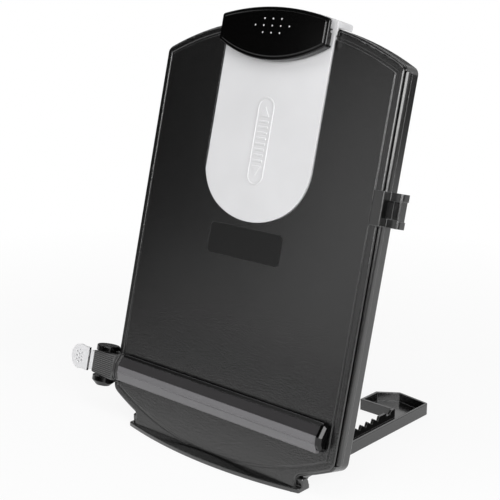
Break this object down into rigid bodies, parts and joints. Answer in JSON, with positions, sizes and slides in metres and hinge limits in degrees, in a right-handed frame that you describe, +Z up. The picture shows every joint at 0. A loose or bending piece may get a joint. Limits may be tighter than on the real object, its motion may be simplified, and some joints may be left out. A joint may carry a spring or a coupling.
{
  "type": "copy holder with line guide",
  "caption": "Leaning desk copy holder: a board with a paper ledge, a spring clip on a height extension, and a hinged line guide that slides along its side rails.",
  "frame": {"origin": "on the desk, under the middle of the board's front face, inside the ledge's middle pad", "axes": "+X to the right as seen by the reader, +Y away from the reader to the back, +Z up"},
  "size_m": [0.3031, 0.2062, 0.3496],
  "materials": {
    "black_shell": "fine leather-like texture, satin",
    "dark_shell": "satin",
    "silver_plastic": "silver lacquer look, satin",
    "gloss_black": "polished",
    "bar_grey": "smoky, smooth",
    "strip_dark": "smooth",
    "ribbed_grey": "satin",
    "blank_plate": "satin, bare",
    "foot_rubber": "matt",
    "brake_felt": "felt",
    "screw_steel": "zinc plated",
    "pin_steel": "smooth",
    "spring_steel": "smooth"
  },
  "bodies": {
    "base": {"base_frame": "dark_shell", "base_pads": "foot_rubber", "base_hinge_pins": "pin_steel"},
    "board": {"front_panel": "black_shell", "badge_plate": "blank_plate", "left_rail": "dark_shell", "right_rail": "dark_shell", "crown_rail": "dark_shell", "foot_rail": "dark_shell", "rear_cover": "dark_shell", "cover_screws": "screw_steel", "hinge_brackets": "dark_shell", "prop_brackets": "dark_shell", "paper_ledge": "black_shell", "ledge_screws": "screw_steel", "ledge_pads": "foot_rubber", "prop_pin": "pin_steel"},
    "prop": {"prop": "dark_shell", "prop_rod": "pin_steel"},
    "extension": {"extension_tongue": "silver_plastic", "slide_keepers": "dark_shell", "keeper_screws": "screw_steel", "clip_pin": "pin_steel", "clip_spring": "spring_steel"},
    "clip": {"clip_lever": "gloss_black", "clip_pad": "foot_rubber"},
    "left_slider": {"left_carrier": "dark_shell", "left_brake": "brake_felt", "guide_yoke": "gloss_black", "guide_pin": "pin_steel"},
    "guide": {"guide_block": "ribbed_grey", "guide_collar": "gloss_black", "guide_spring": "spring_steel", "thumb_paddle": "silver_plastic", "guide_bar": "bar_grey", "guide_strip": "strip_dark", "guide_end_cap": "gloss_black"},
    "right_slider": {"right_carrier": "dark_shell", "right_brake": "brake_felt"}
  },
  "joints": [
    {"name": "board_tilt", "type": "hinge", "parent": "base", "child": "board", "pos_m": [0, 0.03, 0.0134], "axis": [-1, 0, 0], "range_deg": [0, 75]},
    {"name": "prop_swing", "type": "hinge", "parent": "board", "child": "prop", "pos_m": [0, 0.05504, 0.11021], "axis": [1, 0, 0], "range_deg": [0, 150]},
    {"name": "extension_slide", "type": "slide", "parent": "board", "child": "extension", "axis": [0, 0.2504, 0.9681], "range_m": [0, 0.08]},
    {"name": "clip_hinge", "type": "hinge", "parent": "extension", "child": "clip", "pos_m": [0, 0.08064, 0.33338], "axis": [-1, 0, 0], "range_deg": [0, 18], "stiffness_Nm_per_rad": 0.4, "springref_deg": -17.19},
    {"name": "left_slide", "type": "slide", "parent": "board", "child": "left_slider", "axis": [0, 0.2504, 0.9681], "range_m": [-0.002, 0.235]},
    {"name": "guide_swing", "type": "hinge", "parent": "left_slider", "child": "guide", "pos_m": [-0.1318, 0.00994, 0.04484], "axis": [0, -0.2504, -0.9681], "range_deg": [0, 28], "stiffness_Nm_per_rad": 0.05, "springref_deg": -20.05},
    {"name": "right_slide", "type": "slide", "parent": "board", "child": "right_slider", "axis": [0, 0.2504, 0.9681], "range_m": [-0.17, 0.07]}
  ],
  "couplings": [
    {"joint": "prop_swing", "follows": "board_tilt", "ratio": 2}
  ]
}
